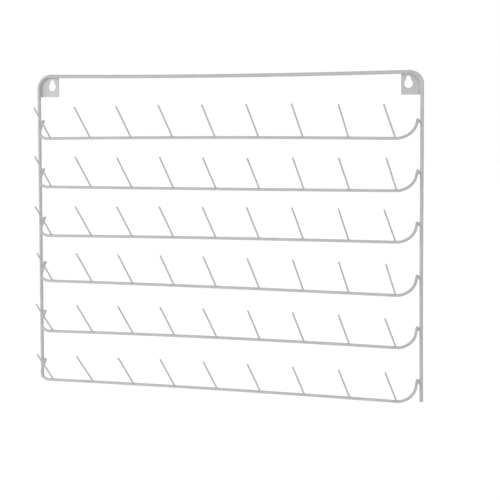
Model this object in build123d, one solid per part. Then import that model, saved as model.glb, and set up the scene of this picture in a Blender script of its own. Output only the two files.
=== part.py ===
from build123d import *
import math
import os

# Wall rack for thread spools, made of welded steel wire. Lengths are in millimetres, angles in degrees.
# X is to the right, Y into the wall, Z up. The origin is midway between the two hanging holes, on the wall.

# Outer frame: one wire bent to an upside-down U. Its width is from centre line to centre line.
# Both uprights end a little below the lowest rail's front run.
frame_width = 400.0
frame_wire_diameter = 3.5
frame_bend_radius = 12.0
left_foot_below_lowest_run = 1.3
right_foot_below_lowest_run = 2.4

# Rails: one shallow U of thinner wire for each row. The heights are counted from the front runs.
rail_wire_diameter = 2.8
rail_bend_radius = 13.0
rail_reach = 15.0
rail_end_rise = 18.0
first_rail_drop = 61.1
rail_stack_height = 242.4
row_height_shares = (1.0, 0.799, 0.604, 0.409, 0.206, 0.0)
rail_end_gap = 1.05

# Pegs: straight wires that stand on a rail's front run, counted from the rail's centre line.
peg_wire_diameter = 1.6
peg_length = 43.6
peg_tilt = 45.0
peg_pitch = 45.0

# Hanger plates behind the top corners and their keyholes: a round hole with a slot that rises from it.
# The keyhole is placed from the frame's centre lines, and the plate leaves a margin beside and below it.
plate_thickness = 1.2
plate_edge_beyond_wire = 0.5
plate_corner_radius = 1.6
hole_diameter = 8.3
slot_width = 5.1
slot_rise = 4.5
slot_top_below_bar = 3.95
hole_from_upright = 14.0
plate_margin_beside_hole = 2.85
plate_margin_below_hole = 5.85

# Welds: collars round the pegs, bridges at the rail ends and beads along the plates.
# A peg's root, melted into its collar, narrows to a share of the peg's radius.
peg_weld_width = 0.5
peg_weld_height = 0.9
peg_weld_lip = 0.15
peg_weld_hollow = 0.07
peg_root_share = 0.6
rail_weld_inset = 0.1
upright_weld_inset = 0.25
upright_weld_spread = 2.7
rail_weld_from_end = 1.5
plate_weld_radius = 0.9
plate_weld_from_wire = 1.5
upright_weld_length = 4.5
bar_weld_length = 1.8
bar_weld_from_plate_edge = 2.2

# Finish of the cut wire ends.
frame_end_chamfer = 0.5
rail_end_chamfer = 0.35
peg_tip_chamfer = 0.25

# Places that follow from the sizes above.
frame_radius = frame_wire_diameter / 2
rail_radius = rail_wire_diameter / 2
peg_radius = peg_wire_diameter / 2
upright_x = frame_width / 2
frame_y = -(plate_thickness + frame_radius)
hole_radius = hole_diameter / 2
slot_radius = slot_width / 2
bar_z = slot_rise + slot_radius + slot_top_below_bar
plate_width = hole_from_upright + hole_radius + plate_margin_beside_hole
plate_height = bar_z + hole_radius + plate_margin_below_hole
rail_y = frame_y - rail_reach
rail_end_x = upright_x - frame_radius - rail_end_gap - rail_radius
lowest_rail_z = bar_z - first_rail_drop - rail_stack_height
row_heights = [lowest_rail_z + share * rail_stack_height for share in row_height_shares]
peg_weld_radius = peg_radius + peg_weld_width
peg_weld_top = rail_radius + peg_weld_height
room_for_pegs = 2 * (rail_end_x - rail_bend_radius - peg_weld_radius)
pegs_in_row = 1 + math.floor(room_for_pegs / peg_pitch)
peg_places = [peg_pitch * (index - (pegs_in_row - 1) / 2) for index in range(pegs_in_row)]
peg_direction = Vector(0, -math.sin(math.radians(peg_tilt)), math.cos(math.radians(peg_tilt)))
rail_end_direction = Vector(0, rail_reach, rail_end_rise).normalized()
standing = (Align.CENTER, Align.CENTER, Align.MIN)


def bent_wire(points, bend_radius, wire_radius, end_chamfer):
    """A round wire through the points, bent at the inner ones, with its two cut ends chamfered."""
    path = FilletPolyline(*points, radius=bend_radius)
    section = Plane(origin=path @ 0, z_dir=path % 0) * Circle(wire_radius)
    wire = sweep(section, path=path)
    cut_ends = wire.faces().filter_by(GeomType.PLANE)
    return chamfer(cut_ends.edges(), end_chamfer)


def outer_frame():
    points = [
        (-upright_x, frame_y, lowest_rail_z - left_foot_below_lowest_run),
        (-upright_x, frame_y, bar_z),
        (upright_x, frame_y, bar_z),
        (upright_x, frame_y, lowest_rail_z - right_foot_below_lowest_run),
    ]
    return bent_wire(points, frame_bend_radius, frame_radius, frame_end_chamfer)


def rail(row_z):
    points = [
        (-rail_end_x, frame_y, row_z + rail_end_rise),
        (-rail_end_x, rail_y, row_z),
        (rail_end_x, rail_y, row_z),
        (rail_end_x, frame_y, row_z + rail_end_rise),
    ]
    return bent_wire(points, rail_bend_radius, rail_radius, rail_end_chamfer)


def rail_run(row_z):
    """The straight front run of a rail as a plain bar, to cut what sits on it."""
    return Pos(0, rail_y, row_z) * Rot(0, 90, 0) * Cylinder(rail_radius, frame_width)


def peg_stand(row_z):
    """The plane that a row's middle peg stands on: at the rail's centre line, its normal along the peg."""
    return Plane(origin=(0, rail_y, row_z), x_dir=(1, 0, 0), z_dir=peg_direction)


def whole_peg():
    """One peg along Z from the rail's centre line: a narrowing root, then the straight stick."""
    root = Cone(peg_root_share * peg_radius, peg_radius, peg_weld_top, align=standing)
    stick = Pos(0, 0, peg_weld_top) * Cylinder(peg_radius, peg_length - peg_weld_top, align=standing)
    stick = chamfer(stick.edges().group_by(Axis.Z)[-1], peg_tip_chamfer)
    return root + stick


def pegs(row_z):
    peg = peg_stand(row_z) * whole_peg() - rail_run(row_z)
    return [Pos(place, 0, 0) * peg for place in peg_places]


def peg_welds(row_z):
    """Collars with a hollow flank, thick at the rail and thin up the peg."""
    foot = (peg_weld_radius, rail_radius)
    lip = (peg_radius + peg_weld_lip, peg_weld_top)
    profile = [
        Polyline((0, peg_weld_top), (0, 0), (peg_weld_radius, 0), foot),
        SagittaArc(foot, lip, peg_weld_hollow),
        Line(lip, (0, peg_weld_top)),
    ]
    collar = revolve(Plane.XZ * make_face(profile), axis=Axis.Z) - whole_peg()
    weld = peg_stand(row_z) * collar - rail_run(row_z)
    return [Pos(place, 0, 0) * weld for place in peg_places]


def rail_end_welds(row_z):
    """Beads that bridge the rail's two ends to the uprights, tall at the upright and round at the rail."""
    rail_end = Vector(rail_end_x, frame_y, row_z + rail_end_rise)
    centre = rail_end - rail_end_direction * rail_weld_from_end
    at_upright = Plane(origin=(upright_x, frame_y, centre.Z), x_dir=(0, 1, 0), z_dir=(1, 0, 0))
    at_rail = Plane(origin=centre, x_dir=(0, 1, 0), z_dir=(1, 0, 0))
    round_end = at_rail * Circle(rail_radius - rail_weld_inset)
    tall_end = at_upright * Ellipse(frame_radius - upright_weld_inset, upright_weld_spread)
    bridge = loft([round_end, tall_end])
    right_weld = bridge - outer_frame() - rail(row_z)
    left_weld = mirror(bridge, about=Plane.YZ) - outer_frame() - rail(row_z)
    return [left_weld, right_weld]


def keyhole():
    """Round hole with a narrower round-ended slot above it, centred on the hole."""
    slot = Pos(0, slot_rise / 2) * Rectangle(slot_width, slot_rise) + Pos(0, slot_rise) * Circle(slot_radius)
    return Circle(hole_radius) + slot


def hanger_plate(side):
    """The plate behind one top corner: side is 1 for the right one and -1 for the left one."""
    outer = upright_x + plate_edge_beyond_wire
    inner = upright_x - plate_width
    top = bar_z + plate_edge_beyond_wire
    bottom = bar_z - plate_height
    blank = Pos(side * (inner + outer) / 2, (top + bottom) / 2) * Rectangle(outer - inner, top - bottom)
    corners = blank.vertices().group_by(Axis.Y)
    outermost = corners[-1].sort_by(Axis.X)[-1 if side > 0 else 0]
    blank = fillet(outermost, frame_bend_radius + plate_edge_beyond_wire)
    blank = fillet(blank.vertices().group_by(Axis.Y)[0], plate_corner_radius)
    blank -= Pos(side * (upright_x - hole_from_upright), 0) * keyhole()
    return extrude(Plane.XZ * blank, plate_thickness)


def bead(length):
    """A short weld bead along Z with round ends."""
    middle = Cylinder(plate_weld_radius, length)
    ends = [Pos(0, 0, end * length / 2) * Sphere(plate_weld_radius) for end in (-1, 1)]
    return middle + ends


def hanger_welds(side):
    """One bead along the upright and one under the top bar, in the groove between wire and plate."""
    upright_bead_z = bar_z - (frame_bend_radius + plate_height) / 2
    beside_upright = Pos(side * (upright_x - plate_weld_from_wire), -plate_thickness, upright_bead_z)
    bar_bead_x = upright_x - plate_width + bar_weld_from_plate_edge
    under_bar = Pos(side * bar_bead_x, -plate_thickness, bar_z - plate_weld_from_wire)
    beads = [beside_upright * bead(upright_weld_length), under_bar * Rot(0, 90, 0) * bead(bar_weld_length)]
    return [blob - outer_frame() - hanger_plate(side) for blob in beads]


def save(node, solids):
    export_step(Compound(children=solids) if len(solids) > 1 else solids[0], f"parts/{node}.step")


os.makedirs("parts", exist_ok=True)
save("outer_frame", [outer_frame()])
for row, row_z in enumerate(row_heights, start=1):
    save(f"rail_{row}", [rail(row_z)])
    save(f"pegs_row_{row}", pegs(row_z))
    save(f"peg_welds_row_{row}", peg_welds(row_z))
    save(f"rail_end_welds_row_{row}", rail_end_welds(row_z))
for side, side_name in ((-1, "left"), (1, "right")):
    save(f"hanger_plate_{side_name}", [hanger_plate(side)])
    save(f"hanger_welds_{side_name}", hanger_welds(side))
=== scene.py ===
import math
import random

import bmesh
import bpy
from mathutils import Matrix, Vector, noise


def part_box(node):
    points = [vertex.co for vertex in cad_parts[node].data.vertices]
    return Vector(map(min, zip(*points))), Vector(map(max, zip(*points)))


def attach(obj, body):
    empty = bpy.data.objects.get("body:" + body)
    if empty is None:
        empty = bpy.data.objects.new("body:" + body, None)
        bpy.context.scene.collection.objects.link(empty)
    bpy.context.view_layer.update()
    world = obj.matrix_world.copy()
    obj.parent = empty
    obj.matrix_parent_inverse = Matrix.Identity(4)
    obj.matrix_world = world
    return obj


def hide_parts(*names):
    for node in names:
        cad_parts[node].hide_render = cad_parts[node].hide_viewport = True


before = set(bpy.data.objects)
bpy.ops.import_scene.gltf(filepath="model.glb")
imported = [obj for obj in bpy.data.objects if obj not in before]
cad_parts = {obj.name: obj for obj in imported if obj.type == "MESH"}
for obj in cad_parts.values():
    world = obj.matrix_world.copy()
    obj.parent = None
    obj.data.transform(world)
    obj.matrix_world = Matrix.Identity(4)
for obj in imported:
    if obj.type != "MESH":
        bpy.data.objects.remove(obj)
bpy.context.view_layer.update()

# Wall rack for thread spools, made of welded and powder-coated steel wire.
# Lengths are in millimetres until MM turns them into metres, and angles in degrees until they are used.
# X is to the right, Y into the wall, Z up. The origin is midway between the two hanging holes, on the wall.
MM = 0.001

# Camera: the place and the lens that the photograph was taken with, and the nearest and farthest it shows.
focal_in_pixels = 1665.15
picture_side_in_pixels = 500
sensor_width = 36.0
camera_turn = 22.434
camera_drop = 4.411
camera_roll = -0.290
camera_place = (636.73, -1474.84, -35.13)
nearest_shown = 50
farthest_shown = 100000

# Wires: diameters, bend radii, and the rounding that the coat gives their cut ends.
frame_wire_diameter = 3.5
frame_bend_radius = 12.0
frame_end_rounding = 0.6
foot_inset = 0.02
left_foot_above_right_foot = 1.1
rail_wire_diameter = 2.8
rail_end_rise = 18.0
rail_end_rounding = 0.45
peg_wire_diameter = 1.6
peg_length = 43.6
peg_tilt = 45.0
peg_end_rounding = 0.3
peg_tip_inset = 0.06
pegs_in_row = 9
rows = 6

# How uneven the coated wires are, and the share of its thickness that a wire loses in a bend.
wire_unevenness = 0.02
peg_unevenness = 0.015
unevenness_pitch = 7.0
bend_flattening = 0.03
# A ring is bent by as much as the wire's direction changes from so many rings before it to so many behind.
# Up to the least change it counts as straight, and from the full one on as fully bent.
rings_beside_bend = 3
least_bend = 0.02
full_bend = 0.25

# How the hand-welded rack departs from a straight one.
# The top bar starts a little high at its left, falls to the right and sags.
# The left upright leans in at its top, and the right one bows in below its middle.
bar_left_lift = 0.16
bar_fall_to_right = 1.31
bar_sag = 1.75
left_upright_lean = 0.95
right_upright_bow = 0.38
# The frame's left and right bends: how much slacker they are, and how much longer along the bar than
# downwards. Along the bar the stretch fades out, up to so many bend radii from the upright.
frame_bend_changes = (1.2, -1.0)
frame_bend_stretches = (1.04, 1.18)
stretch_fades_after = 4
# For each rail, how far its left end, its right end and the middle of its bow stand above the level line.
rail_lifts = (
    (-1.1, -1.3, 1.2),
    (-0.2, 0.0, -0.2),
    (-1.9, 0.0, 0.9),
    (0.3, -1.9, 0.9),
    (-1.4, -1.1, 1.8),
    (-0.4, -1.1, 1.3),
)
# How far each rail's left and right ends stand to the right of their places, and how much higher they go.
rail_end_shifts = ((1.5, 0.1), (1.0, 0.1), (1.2, -0.1), (1.3, -0.1), (0.3, 0.1), (-0.3, 0.4))
rail_end_extras = ((0.0, -0.3), (-0.4, 0.6), (-0.2, 0.0), (0.0, 0.0), (1.3, 0.5), (0.8, 1.5))
# The radii of each rail's left and right bends.
rail_bend_radii = ((12.4, 17.2), (11.7, 16.2), (12.6, 15.9), (11.4, 15.9), (13.5, 15.5), (13.0, 15.7))
# The pegs stand a little closer than the even pitch, and each row has its own. Columns and rows add small
# errors: a shift of the foot to the right, a lean of the tip to the right, and a droop of the tip.
peg_pitch = 44.85
row_pitch_changes = (-0.08, 0.02, -0.06, -0.07, 0.03, 0.13)
column_shifts = (0.5, 0.3, 0.1, -0.1, -0.2, -0.3, -0.4, -0.3, 0.2)
row_shifts = (0.1, 0.8, 0.3, 0.3, 0.5, 0.6)
column_leans = (-0.4, -0.8, -0.3, -0.2, 0.0, 0.3, 0.6, 0.6, -0.4)
row_leans = (-0.2, -0.2, -0.6, 0.0, -0.6, -0.9)
column_droops = (0.3, 0.4, 0.4, -0.2, -0.2, -0.3, -0.5, -0.4, -0.2)
row_droops = (0.2, 0.4, -0.2, -0.3, 0.1, 0.5)
# Pegs that stand out from their row and column, by row and column from 1: more lean and more droop.
bent_pegs = {
    (1, 8): (0.6, 0.5),
    (1, 9): (-0.9, 0.0),
    (2, 1): (-0.3, -0.9),
    (2, 2): (0.0, -0.6),
    (2, 4): (0.4, 0.0),
    (2, 6): (0.0, 0.7),
    (2, 8): (-0.2, 0.6),
    (2, 9): (0.5, 0.0),
    (3, 1): (-0.3, 0.0),
    (3, 8): (0.3, 0.0),
    (3, 9): (-0.4, 0.0),
    (4, 1): (0.5, 0.7),
    (4, 6): (-0.3, 0.0),
    (4, 9): (0.7, 0.0),
    (5, 1): (-0.6, 0.0),
    (5, 2): (0.5, 0.3),
    (5, 6): (0.5, 0.0),
    (5, 9): (0.0, 0.6),
    (6, 1): (0.5, 0.4),
    (6, 2): (0.0, 0.6),
    (6, 9): (0.0, -0.7),
}

# Hanger plates and their keyholes.
plate_thickness = 1.2
plate_edge_rounding = 0.18
plate_edge_beyond_wire = 0.5
plate_corner_radius = 1.2
plate_width = 21.0
plate_height = 21.0
hole_diameter = 8.3
slot_width = 5.1
slot_rise = 4.5
hole_from_upright = 14.0
# How far each plate stands to the right and up, and how far its keyhole stands to the right and up in it.
plate_shifts = {"left": (1.1, 0.3), "right": (0.25, -1.25)}
keyhole_shifts = {"left": (-0.5, 0.0), "right": (-0.1, 0.3)}

# Collars round the pegs' feet. The width thins out by a power, and lumps change it by up to a share.
# The lumps are noise on a circle round the foot, and the collar's top follows them by a share.
collar_width = 0.4
collar_height = 0.9
collar_sink = 0.08
collar_thinning = 1.6
collar_lumpiness = 0.6
collar_lump_circle = 1.2
collar_lump_pitch = 1.1
collar_top_follows = 0.1

# Beads at the rail ends. Each grows together from puddles, which have three half sizes: one on the rail that
# stands a little towards the upright, one between rail and upright that hangs a little, and three in the
# upright's skin, each with a climb and a thickness. Round lumps are scattered among them.
rail_bead_from_end = 2.3
rail_puddle_sizes = (1.3, 1.3, 1.8)
rail_puddle_shift = 0.4
bridge_puddle_sizes = (1.5, 1.25, 1.45)
bridge_puddle_drop = 0.2
upright_puddles = ((-1.4, 0.5), (-0.4, 1.0), (0.6, 0.8))
upright_puddle_size = 1.1
upright_puddle_sink = 0.2
upright_puddle_forward = 0.1
bead_lumps = 6
lump_scatter = 0.9
least_lump = 0.5
greatest_lump = 0.9

# Beads at the plates: a row of puddles in the groove along the upright, and one in the groove under the bar.
plate_bead_from_wire = 1.5
upright_bead_puddles = 5
upright_bead_pitch = 1.1
upright_bead_sizes = (0.85, 0.85, 0.9)
bar_bead_puddles = 3
bar_bead_pitch = 0.9
bar_bead_sizes = (0.9, 0.85, 0.85)
bar_bead_from_plate_edge = 2.2

# The lumpy skin that joins the puddles of a bead.
skin_lump_pitch = 1.3
skin_lump_height = 0.12
skin_voxel = 0.2
skin_smoothing = 0.5
skin_smoothing_rounds = 4

# The coat fills the groove between the frame's wire and a plate with a hollow of this radius, which changes
# by up to a share and tapers to a share at the coat's ends. The edges run out under the skins they meet.
groove_radius = 1.2
groove_overlap = 0.06
groove_sink = 0.15
groove_edge_on_plate = 0.2
groove_edge_on_wire = 0.4
groove_taper = 1.4
groove_end_share = 0.1
groove_unevenness = 0.2
groove_unevenness_pitch = 4

# Mesh fineness.
step_on_runs = 3.0
step_in_bends = 0.9
step_in_groove = 0.5
least_steps_in_bend = 4
steps_in_rounding = 5
steps_in_collar = 9
steps_in_hollow = 8
steps_in_hole = 40
steps_in_slot = 16
steps_in_plate_edge = 3
puddle_subdivisions = 3
wire_sides = 36
peg_sides = 20
flat_face_weight = 100

# The coat: the grey, roughness and shine of each slot, and the layers of noise that change them. The scales
# are per metre. Noise from low to high becomes a change by up to so much to either side. Waves and orange
# peel are bumps.
coat_finishes = {
    "frame_coat": (0.34, 0.4, 0.25),
    "rail_coat": (0.35, 0.4, 0.25),
    "peg_coat": (0.34, 0.4, 0.25),
    "plate_coat": (0.34, 0.4, 0.55),
    "weld_coat": (0.33, 0.42, 0.25),
}
noise_low = 0.3
noise_high = 0.7
coarse_detail = 3
fine_detail = 2
mottle_scale = 120
mottle_change = 0.04
speck_scale = 2600
speck_change = 0.07
gloss_scale = 300
gloss_change = 0.05
wave_scale = 350
wave_strength = 0.6
wave_height = 0.25
peel_scale = 1400
peel_strength = 0.8
peel_height = 0.12

# Studio. Each round soft light has an azimuth, which is 0 in front and grows to the right, an elevation and
# a power in watts.
softboxes = {
    "key": (-40, 0, 7),
    "left_fill": (-65, 0, 5.5),
    "right_fill": (50, 30, 6.5),
}
softbox_distance = 1600
softbox_size = 700
world_strength = 1.0
floor_side = 60000
floor_z = -900
floor_white = 0.98
floor_glow = 0.05


def box_in_mm(node):
    low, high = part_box(node)
    return low / MM, high / MM


# Places read from the frame.
frame_radius = frame_wire_diameter / 2
rail_radius = rail_wire_diameter / 2
peg_radius = peg_wire_diameter / 2
frame_low, frame_high = box_in_mm("outer_frame")
upright_x = frame_high.x - frame_radius
bar_z = frame_high.z - frame_radius
bends_start_z = bar_z - frame_bend_radius
frame_y = (frame_low.y + frame_high.y) / 2
right_foot_z = frame_low.z + foot_inset
left_foot_z = right_foot_z + left_foot_above_right_foot
rail_boxes = [box_in_mm(f"rail_{row}") for row in range(1, rows + 1)]
rail_levels = [low.z + rail_radius for low, high in rail_boxes]
rail_y = rail_boxes[0][0].y + rail_radius
rail_end_x = rail_boxes[0][1].x - rail_radius


def make_camera():
    data = bpy.data.cameras.new("photo_camera")
    data.sensor_fit = "HORIZONTAL"
    data.sensor_width = sensor_width
    data.lens = focal_in_pixels * sensor_width / picture_side_in_pixels
    data.clip_start = nearest_shown * MM
    data.clip_end = farthest_shown * MM
    camera = bpy.data.objects.new("photo_camera", data)
    bpy.context.scene.collection.objects.link(camera)
    turn, drop, roll = (math.radians(angle) for angle in (camera_turn, camera_drop, camera_roll))
    forward = Vector((-math.sin(turn) * math.cos(drop), math.cos(turn) * math.cos(drop), -math.sin(drop)))
    right = Vector((math.cos(turn), math.sin(turn), 0))
    up = right.cross(forward)
    rolled_right = right * math.cos(roll) + up * math.sin(roll)
    rolled_up = up * math.cos(roll) - right * math.sin(roll)
    axes = Matrix((rolled_right, rolled_up, -forward)).transposed()
    camera.matrix_world = Matrix.Translation(Vector(camera_place) * MM) @ axes.to_4x4()
    bpy.context.scene.camera = camera


make_camera()


# Shapes of the wires

def share_across(x):
    """0 at the left upright, 1 at the right one."""
    return min(1, max(0, (x + upright_x) / (2 * upright_x)))


def arch(share):
    """0 at both ends and 1 in the middle."""
    return 4 * share * (1 - share)


def low_arch(share):
    """0 at both ends and 1 at its peak, a third of the way up."""
    return 27 / 4 * share * (1 - share) ** 2


def arc_points(radius, start, turn, steps):
    """Flat points of an arc round the origin, from the start angle on through the turn."""
    angles = [start + turn * i / steps for i in range(steps + 1)]
    return [(radius * math.cos(angle), radius * math.sin(angle)) for angle in angles]


def arc_at(corner, before, after, radius):
    """Points of the arc that rounds a corner between two straight runs."""
    back = (before - corner).normalized()
    ahead = (after - corner).normalized()
    half = back.angle(ahead) / 2
    start = corner + back * (radius / math.tan(half))
    centre = corner + (back + ahead).normalized() * (radius / math.sin(half))
    turn = math.pi - 2 * half
    axis = back.cross(ahead).normalized()
    steps = max(least_steps_in_bend, round(radius * turn / step_in_bends))
    turns = [Matrix.Rotation(-turn * i / steps, 3, axis) for i in range(steps + 1)]
    return [centre + rotation @ (start - centre) for rotation in turns]


def run_between(start, end):
    """Inner points of a straight run."""
    steps = max(1, round((end - start).length / step_on_runs))
    return [start.lerp(end, i / steps) for i in range(1, steps)]


def rounded_path(corners, radii):
    corners = [Vector(corner) for corner in corners]
    path = [corners[0]]
    for before, corner, after, radius in zip(corners, corners[1:], corners[2:], radii):
        bend = arc_at(corner, before, after, radius)
        path += run_between(path[-1], bend[0]) + bend
    return path + run_between(path[-1], corners[-1]) + [corners[-1]]


def stretched_bend(x, radius, stretch):
    """A place on the frame, moved along the bar so that the bend is longer there."""
    from_upright = upright_x - abs(x)
    fade_end = stretch_fades_after * radius
    fading = (fade_end - from_upright) / (fade_end - radius)
    share = min(from_upright / radius, max(0, fading))
    return math.copysign(upright_x - from_upright - (stretch - 1) * radius * share, x)


def frame_path():
    corners = [
        (-upright_x, frame_y, left_foot_z),
        (-upright_x, frame_y, bar_z),
        (upright_x, frame_y, bar_z),
        (upright_x, frame_y, right_foot_z),
    ]
    radii = [frame_bend_radius + change for change in frame_bend_changes]
    path = rounded_path(corners, radii)
    for point in path:
        end = 0 if point.x < 0 else 1
        point.x = stretched_bend(point.x, radii[end], frame_bend_stretches[end])
        across = share_across(point.x)
        height = min(1, max(0, (point.z - right_foot_z) / (bar_z - right_foot_z)))
        bow = right_upright_bow * low_arch(height)
        point.z += height * (bar_left_lift - bar_fall_to_right * across - bar_sag * arch(across))
        point.x += left_upright_lean * height * (1 - across) - bow * across
    return path


def rail_lift(row, x):
    """How far a rail stands above its level line at x."""
    left, right, bow = rail_lifts[row]
    across = share_across(x)
    return left + (right - left) * across + bow * arch(across)


def rail_path(row):
    level = rail_levels[row]
    left = -rail_end_x + rail_end_shifts[row][0]
    right = rail_end_x + rail_end_shifts[row][1]
    left_extra, right_extra = rail_end_extras[row]
    corners = [
        (left, frame_y, level + rail_end_rise + left_extra),
        (left, rail_y, level),
        (right, rail_y, level),
        (right, frame_y, level + rail_end_rise + right_extra),
    ]
    path = rounded_path(corners, rail_bend_radii[row])
    for point in path:
        point.z += rail_lift(row, point.x)
    return path


def offsets_in_row(count, pitch):
    """How far each of a row's members stands from the row's middle."""
    return [pitch * (number - (count - 1) / 2) for number in range(count)]


def peg_line(row, column):
    """Foot and tip of a peg's centre line. A drooping peg reaches no further out than a straight one."""
    even_place = offsets_in_row(pegs_in_row, peg_pitch + row_pitch_changes[row])[column]
    x = even_place + column_shifts[column] + row_shifts[row]
    more_lean, more_droop = bent_pegs.get((row + 1, column + 1), (0, 0))
    lean = column_leans[column] + row_leans[row] + more_lean
    droop = column_droops[column] + row_droops[row] + more_droop
    rise = peg_length * math.cos(math.radians(peg_tilt)) - droop
    most_reach = peg_length * math.sin(math.radians(peg_tilt)) - peg_tip_inset
    reach = min(most_reach, math.sqrt(peg_length ** 2 - rise ** 2))
    foot = Vector((x, rail_y, rail_levels[row] + rail_lift(row, x)))
    return foot, foot + Vector((lean, -reach, rise))


# Meshes

class Skin:
    """Points and faces of one piece while it grows."""

    def __init__(self):
        self.points = []
        self.faces = []

    def tube(self, rings):
        """A closed tube over rings, which are lists with the same number of points."""
        sides = len(rings[0])
        first = len(self.points)
        for ring in rings:
            self.points += ring
        for number in range(len(rings) - 1):
            here = first + number * sides
            for side in range(sides):
                after = (side + 1) % sides
                self.faces.append((here + side, here + after, here + sides + after, here + sides + side))
        self.faces.append(tuple(reversed(range(first, first + sides))))
        last = first + (len(rings) - 1) * sides
        self.faces.append(tuple(range(last, last + sides)))

    def mesh(self, name):
        mesh = bpy.data.meshes.new(name)
        mesh.from_pydata([point * MM for point in self.points], [], self.faces)
        mesh.validate()
        mesh.shade_smooth()
        return mesh


def direction_at(path, number):
    """The direction of a path at one of its points."""
    return (path[min(number + 1, len(path) - 1)] - path[max(number - 1, 0)]).normalized()


def directions_along(path):
    """At each point the wire's direction and two directions across it that turn as little as possible."""
    across = None
    result = []
    for number in range(len(path)):
        ahead = direction_at(path, number)
        across = across or ahead.orthogonal()
        across = (across - ahead * across.dot(ahead)).normalized()
        result.append((ahead, across, ahead.cross(across)))
    return result


def rounded_ends(path, rounding):
    """The path with more points near its ends, each with how much thinner the wire is there."""
    quarter = arc_points(rounding, 0, math.pi / 2, steps_in_rounding)
    ends = []
    for end, inner in ((path[0], path[1]), (path[-1], path[-2])):
        inward = (inner - end).normalized()
        ends.append([(end + inward * (rounding - along), rounding - out) for along, out in quarter])
    return ends[0] + [(point, 0) for point in path[1:-1]] + ends[1][::-1]


def wire_rings(path, radius, rounding, sides, unevenness):
    """Rings of a coated wire: not quite round nor even, and a little flattened where it is bent."""
    points = rounded_ends(path, rounding)
    rings = []
    directions = directions_along([point for point, thinner in points])
    for number, (point, thinner) in enumerate(points):
        across, upright = directions[number][1:]
        before = directions[max(number - rings_beside_bend, 0)][0]
        after = directions[min(number + rings_beside_bend, len(points) - 1)][0]
        bend = after - before
        bent = min(1, bend.length / full_bend)
        into_bend = bend.normalized() if bend.length > least_bend else Vector((0, 0, 0))
        ring = []
        for side in range(sides):
            angle = 2 * math.pi * side / sides
            outward = across * math.cos(angle) + upright * math.sin(angle)
            swell = noise.noise((point + outward * radius) / unevenness_pitch) * unevenness
            offset = outward * (radius - unevenness - thinner + swell)
            offset -= into_bend * offset.dot(into_bend) * bend_flattening * bent
            ring.append(point + offset)
        rings.append(ring)
    return rings


def finish_piece(mesh, node, slot):
    piece = bpy.data.objects.new(f"{node}_look", mesh)
    bpy.context.scene.collection.objects.link(piece)
    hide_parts(node)
    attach(piece, "root")
    piece.data.materials.append(coats[slot])
    return piece


def wire_piece(node, slot, path, radius, rounding):
    skin = Skin()
    skin.tube(wire_rings(path, radius, rounding, wire_sides, wire_unevenness))
    finish_piece(skin.mesh(node), node, slot)


def peg_row(row):
    skin = Skin()
    for column in range(pegs_in_row):
        foot, tip = peg_line(row, column)
        path = [foot] + run_between(foot, tip) + [tip]
        skin.tube(wire_rings(path, peg_radius, peg_end_rounding, peg_sides, peg_unevenness))
    node = f"pegs_row_{row + 1}"
    finish_piece(skin.mesh(node), node, "peg_coat")


def collar_rings(foot, tip):
    """A lumpy weld collar round a peg's foot. Its skirt follows the rail, and it thins out up the peg."""
    ahead = (tip - foot).normalized()
    across = Vector((1, 0, 0))
    upright = ahead.cross(across)
    top = rail_radius + collar_height
    rings = []
    for step in range(steps_in_collar + 1):
        share = step / steps_in_collar
        width = collar_width * (1 - share) ** collar_thinning
        ring = []
        for side in range(peg_sides):
            angle = 2 * math.pi * side / peg_sides
            outward = across * math.cos(angle) + upright * math.sin(angle)
            on_circle = (foot + outward * collar_lump_circle) / collar_lump_pitch
            lump = collar_lumpiness * noise.noise(on_circle)
            over_rail = (peg_radius + collar_width * (1 + lump)) * math.sin(angle)
            skirt = math.sqrt(max(0, rail_radius ** 2 - over_rail ** 2)) - collar_sink
            climb = skirt + share * (top * (1 + collar_top_follows * lump) - skirt)
            out = peg_radius + width * (1 + lump) - collar_sink * share
            ring.append(foot + ahead * climb + outward * out)
        rings.append(ring)
    return rings


def collar_row(row):
    skin = Skin()
    for column in range(pegs_in_row):
        skin.tube(collar_rings(*peg_line(row, column)))
    node = f"peg_welds_row_{row + 1}"
    finish_piece(skin.mesh(node), node, "weld_coat")


def final_mesh(helper):
    """The mesh of a helper object with its modifiers applied. The helper is removed."""
    bpy.context.scene.collection.objects.link(helper)
    bpy.context.view_layer.update()
    mesh = bpy.data.meshes.new_from_object(helper.evaluated_get(bpy.context.evaluated_depsgraph_get()))
    bpy.data.objects.remove(helper)
    return mesh


def grown_together(name, puddles):
    """One lumpy skin round overlapping puddles, each a centre and three half sizes."""
    build = bmesh.new()
    for centre, sizes in puddles:
        place = Matrix.Translation(centre) @ Matrix.Diagonal(sizes).to_4x4()
        bmesh.ops.create_icosphere(build, subdivisions=puddle_subdivisions, radius=1, matrix=place)
    for vertex in build.verts:
        vertex.co += vertex.normal * noise.noise(vertex.co / skin_lump_pitch) * skin_lump_height
        vertex.co *= MM
    mesh = bpy.data.meshes.new(name)
    build.to_mesh(mesh)
    build.free()
    helper = bpy.data.objects.new(name, mesh)
    remesh = helper.modifiers.new("skin", "REMESH")
    remesh.mode = "VOXEL"
    remesh.voxel_size = skin_voxel * MM
    smooth = helper.modifiers.new("smooth", "SMOOTH")
    smooth.factor = skin_smoothing
    smooth.iterations = skin_smoothing_rounds
    grown = final_mesh(helper)
    grown.shade_smooth()
    return grown


def upright_at(side, z):
    """Where an upright's centre line is at that height."""
    upright = [point for point in frame_line if side * point.x > 0 and point.z < bends_start_z]
    return min(upright, key=lambda point: abs(point.z - z)).x


def bar_at(x):
    """How high the top bar's centre line is at that place."""
    bar = [point for point in frame_line if point.z >= bends_start_z]
    return min(bar, key=lambda point: abs(point.x - x)).z


def scattered(chance, spread):
    return Vector([chance.uniform(-spread, spread) for axis in range(3)])


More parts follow.
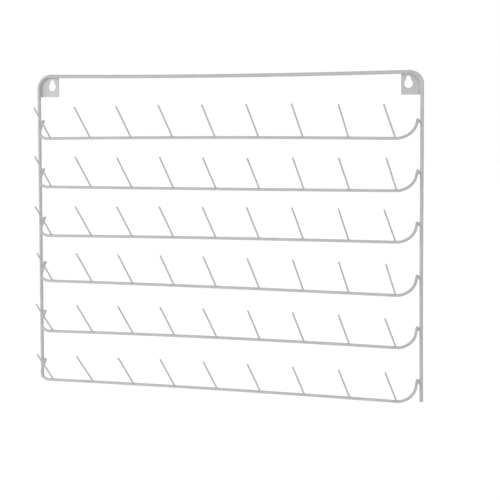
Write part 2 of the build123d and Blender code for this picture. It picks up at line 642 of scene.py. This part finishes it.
def rail_bead_row(row):
    """The two beads that bridge a rail's ends to the uprights, each of a few puddles and some lumps."""
    chance = random.Random(row)
    puddles = []
    for side, path in ((-1, rail_lines[row]), (1, rail_lines[row][::-1])):
        end, inner = path[0], path[1]
        centre = end + (inner - end).normalized() * rail_bead_from_end
        wire = Vector((upright_at(side, centre.z), frame_y, centre.z))
        surface = wire - Vector((side * frame_radius, 0, 0))
        puddles.append((centre + Vector((side * rail_puddle_shift, 0, 0)), rail_puddle_sizes))
        between = centre.lerp(surface, 0.5)
        puddles.append((between - Vector((0, 0, bridge_puddle_drop)), bridge_puddle_sizes))
        for climb, thickness in upright_puddles:
            place = surface + Vector((side * upright_puddle_sink, -upright_puddle_forward, climb))
            puddles.append((place, (thickness, upright_puddle_size, upright_puddle_size)))
        for lump in range(bead_lumps):
            place = centre.lerp(surface, chance.random()) + scattered(chance, lump_scatter)
            puddles.append((place, [chance.uniform(least_lump, greatest_lump)] * 3))
    node = f"rail_end_welds_row_{row + 1}"
    finish_piece(grown_together(node, puddles), node, "weld_coat")


def keyhole_outline(name):
    """Round hole with a narrower round-ended slot above it, at its place within the plate."""
    right, up = keyhole_shifts[name]
    hole = hole_diameter / 2
    slot = slot_width / 2
    mouth = math.asin(slot / hole)
    round_part = arc_points(hole, math.pi / 2 + mouth, 2 * math.pi - 2 * mouth, steps_in_hole)
    slot_end = [(x, slot_rise + z) for x, z in arc_points(slot, 0, math.pi, steps_in_slot)]
    return [(x + right, z + up) for x, z in round_part + slot_end]


def plate_outline(side):
    """The plate's edge in the keyhole's own place, round at the frame's bend and at its lower corners."""
    outer = hole_from_upright + plate_edge_beyond_wire
    inner = hole_from_upright - plate_width
    top = bar_z + plate_edge_beyond_wire
    bottom = bar_z - plate_height
    corners = [
        ((inner, bottom), plate_corner_radius),
        ((outer, bottom), plate_corner_radius),
        ((outer, top), frame_bend_radius + plate_edge_beyond_wire),
        ((inner, top), 0),
    ]
    outline = []
    for number, ((x, z), radius) in enumerate(corners):
        if not radius:
            outline.append((side * x, z))
            continue
        before = Vector((*corners[number - 1][0], 0))
        after = Vector((*corners[(number + 1) % len(corners)][0], 0))
        outline += [(side * p.x, p.y) for p in arc_at(Vector((x, z, 0)), before, after, radius)]
    return outline


def plate_middle(side, name):
    """The plate's place: the middle of its thickness at the keyhole's nominal centre."""
    right, up = plate_shifts[name]
    return Vector((side * (upright_x - hole_from_upright) + right, -plate_thickness / 2, up))


def groove_ring(point, ahead, inward, radius):
    """The section of the coat in the groove. Its hollow touches the wire and the plate's face."""
    forward = Vector((0, -1, 0))
    wire = frame_radius - groove_overlap
    middle = math.sqrt((wire + radius) ** 2 - (frame_radius - radius) ** 2)
    below = math.atan2(frame_radius - radius, middle)
    under_skin = wire - groove_overlap
    beyond = groove_edge_on_wire / frame_radius - below
    edge = middle + groove_edge_on_plate
    section = [(0, frame_radius / 2)]
    section.append((under_skin * math.cos(beyond), frame_radius + under_skin * math.sin(beyond)))
    hollow = arc_points(radius, math.pi - below, math.pi / 2 + below, steps_in_hollow)
    section += [(middle + across, radius + out) for across, out in hollow]
    section += [(edge, -groove_overlap / 2), (edge, -groove_sink), (0, -groove_sink)]
    root = Vector((point.x, -plate_thickness, point.z))
    ring = [root + inward * across + forward * out for across, out in section]
    return ring if inward.cross(forward).dot(ahead) > 0 else ring[::-1]


def line_behind(side, middle):
    """The stretch of the frame's centre line that has the plate behind it, in fine steps."""
    inner = side * middle.x + hole_from_upright - plate_width + plate_edge_rounding
    bottom = middle.z + bar_z - plate_height + plate_edge_rounding
    line = []
    for start, end in zip(frame_line, frame_line[1:]):
        steps = math.ceil((end - start).length / step_in_groove)
        line += [start.lerp(end, i / steps) for i in range(steps)]
    return [point for point in line if side * point.x > inner and point.z > bottom]


def groove_coat(side, name):
    """The coat that fills the groove between the wire and the plate, from the bar round to the upright."""
    middle = plate_middle(side, name)
    line = line_behind(side, middle)
    whole = sum((after - before).length for before, after in zip(line, line[1:]))
    from_start = 0
    rings = []
    for number, point in enumerate(line):
        ahead = direction_at(line, number)
        inward = Vector((ahead.z, 0, -ahead.x))
        if inward.dot(middle - point) < 0:
            inward = -inward
        if number:
            from_start += (point - line[number - 1]).length
        from_end = min(from_start, whole - from_start)
        taper = min(1, groove_end_share + from_end / groove_taper)
        swell = 1 + groove_unevenness * noise.noise(point / groove_unevenness_pitch)
        rings.append(groove_ring(point, ahead, inward, groove_radius * taper * swell))
    skin = Skin()
    skin.tube(rings)
    return skin.mesh("groove_coat")


def flat_sheet(outlines):
    """A flat plate cut from sheet along its outlines, with the coat's rounding along its edges."""
    curve = bpy.data.curves.new("plate", "CURVE")
    curve.dimensions = "2D"
    curve.fill_mode = "BOTH"
    curve.extrude = (plate_thickness / 2 - plate_edge_rounding) * MM
    curve.bevel_depth = plate_edge_rounding * MM
    curve.bevel_resolution = steps_in_plate_edge
    curve.offset = -plate_edge_rounding * MM
    for outline in outlines:
        spline = curve.splines.new("POLY")
        spline.points.add(len(outline) - 1)
        for spline_point, (x, z) in zip(spline.points, outline):
            spline_point.co = (x * MM, z * MM, 0, 1)
        spline.use_cyclic_u = True
    return final_mesh(bpy.data.objects.new("plate", curve))


def plate(side, name):
    """A hanger plate at its place, with the coat in the groove between it and the wire."""
    mesh = flat_sheet((plate_outline(side), keyhole_outline(name)))
    standing = Matrix.Rotation(math.pi / 2, 4, "X")
    mesh.transform(Matrix.Translation(plate_middle(side, name) * MM) @ standing)
    build = bmesh.new()
    build.from_mesh(mesh)
    build.from_mesh(groove_coat(side, name))
    build.to_mesh(mesh)
    build.free()
    mesh.shade_smooth()
    piece = finish_piece(mesh, f"hanger_plate_{name}", "plate_coat")
    flat = piece.modifiers.new("flat_faces", "WEIGHTED_NORMAL")
    flat.weight = flat_face_weight


def plate_beads(side, name):
    """One bead along the upright and one under the top bar, in the groove between wire and plate."""
    puddles = []
    middle = bar_z - (frame_bend_radius + plate_height) / 2
    beside = abs(upright_at(side, middle)) - plate_bead_from_wire
    for offset in offsets_in_row(upright_bead_puddles, upright_bead_pitch):
        puddles.append((Vector((side * beside, -plate_thickness, middle + offset)), upright_bead_sizes))
    for offset in offsets_in_row(bar_bead_puddles, bar_bead_pitch):
        x = side * (upright_x - plate_width + bar_bead_from_plate_edge + offset)
        under = bar_at(x) - plate_bead_from_wire
        puddles.append((Vector((x, -plate_thickness, under)), bar_bead_sizes))
    node = f"hanger_welds_{name}"
    finish_piece(grown_together(node, puddles), node, "weld_coat")


# Materials

def coat(name, grey, roughness, shine):
    """Satin powder coat: fine orange peel on slow waves, with slight changes of tone and gloss."""
    material = bpy.data.materials.new(name)
    material.use_nodes = True
    tree = material.node_tree
    shader = tree.nodes["Principled BSDF"]
    place = tree.nodes.new("ShaderNodeTexCoord")

    def cloud(scale, detail):
        node = tree.nodes.new("ShaderNodeTexNoise")
        node.inputs["Scale"].default_value = scale
        node.inputs["Detail"].default_value = detail
        tree.links.new(place.outputs["Object"], node.inputs["Vector"])
        return node.outputs["Fac"]

    def spread(value, middle, change):
        span = tree.nodes.new("ShaderNodeMapRange")
        span.inputs["From Min"].default_value = noise_low
        span.inputs["From Max"].default_value = noise_high
        span.inputs["To Min"].default_value = middle - change
        span.inputs["To Max"].default_value = middle + change
        tree.links.new(value, span.inputs["Value"])
        return span.outputs["Result"]

    def product():
        node = tree.nodes.new("ShaderNodeMath")
        node.operation = "MULTIPLY"
        return node

    def relief(height_map, strength, height):
        bump = tree.nodes.new("ShaderNodeBump")
        bump.inputs["Strength"].default_value = strength
        bump.inputs["Distance"].default_value = height * MM
        tree.links.new(height_map, bump.inputs["Height"])
        return bump

    mottle = spread(cloud(mottle_scale, coarse_detail), 1, mottle_change)
    specks = spread(cloud(speck_scale, fine_detail), 1, speck_change)
    both = product()
    tree.links.new(mottle, both.inputs[0])
    tree.links.new(specks, both.inputs[1])
    tone = product()
    tone.inputs[1].default_value = grey
    tree.links.new(both.outputs["Value"], tone.inputs[0])
    tree.links.new(tone.outputs["Value"], shader.inputs["Base Color"])
    gloss = spread(cloud(gloss_scale, fine_detail), roughness, gloss_change)
    tree.links.new(gloss, shader.inputs["Roughness"])
    waves = relief(cloud(wave_scale, fine_detail), wave_strength, wave_height)
    peel = relief(cloud(peel_scale, fine_detail), peel_strength, peel_height)
    tree.links.new(waves.outputs["Normal"], peel.inputs["Normal"])
    tree.links.new(peel.outputs["Normal"], shader.inputs["Normal"])
    shader.inputs["Specular IOR Level"].default_value = shine
    return material


coats = {slot: coat(slot, *finish) for slot, finish in coat_finishes.items()}


# The rack

frame_line = frame_path()
rail_lines = [rail_path(row) for row in range(rows)]
wire_piece("outer_frame", "frame_coat", frame_line, frame_radius, frame_end_rounding)
for row in range(rows):
    wire_piece(f"rail_{row + 1}", "rail_coat", rail_lines[row], rail_radius, rail_end_rounding)
    peg_row(row)
    collar_row(row)
    rail_bead_row(row)
for side, name in ((-1, "left"), (1, "right")):
    plate(side, name)
    plate_beads(side, name)


# Studio

def make_world():
    scene = bpy.context.scene
    scene.world = bpy.data.worlds.new("studio")
    scene.world.use_nodes = True
    background = scene.world.node_tree.nodes["Background"]
    background.inputs["Color"].default_value = (1, 1, 1, 1)
    background.inputs["Strength"].default_value = world_strength
    scene.view_settings.view_transform = "Standard"
    scene.view_settings.look = "None"


def softbox(name, azimuth, elevation, power):
    """A round soft light that faces the middle of the rack."""
    data = bpy.data.lights.new(name, "AREA")
    data.shape = "DISK"
    data.size = softbox_size * MM
    data.energy = power
    light = bpy.data.objects.new(name, data)
    turn, rise = math.radians(azimuth), math.radians(elevation)
    towards = Vector((math.sin(turn) * math.cos(rise), -math.cos(turn) * math.cos(rise), math.sin(rise)))
    middle = Vector((0, 0, (bar_z + right_foot_z) / 2))
    light.location = (middle + towards * softbox_distance) * MM
    light.rotation_mode = "QUATERNION"
    light.rotation_quaternion = (-towards).to_track_quat("-Z", "Y")
    light.visible_camera = False
    bpy.context.scene.collection.objects.link(light)


def make_floor():
    bpy.ops.mesh.primitive_plane_add(size=floor_side * MM, location=(0, 0, floor_z * MM))
    floor = bpy.context.object
    floor.name = "floor"
    material = bpy.data.materials.new("pale_floor")
    material.use_nodes = True
    shader = material.node_tree.nodes["Principled BSDF"]
    shader.inputs["Base Color"].default_value = (floor_white, floor_white, floor_white, 1)
    shader.inputs["Emission Color"].default_value = (1, 1, 1, 1)
    shader.inputs["Emission Strength"].default_value = floor_glow
    floor.data.materials.append(material)


make_world()
for name, place_and_power in softboxes.items():
    softbox(name, *place_and_power)
make_floor()
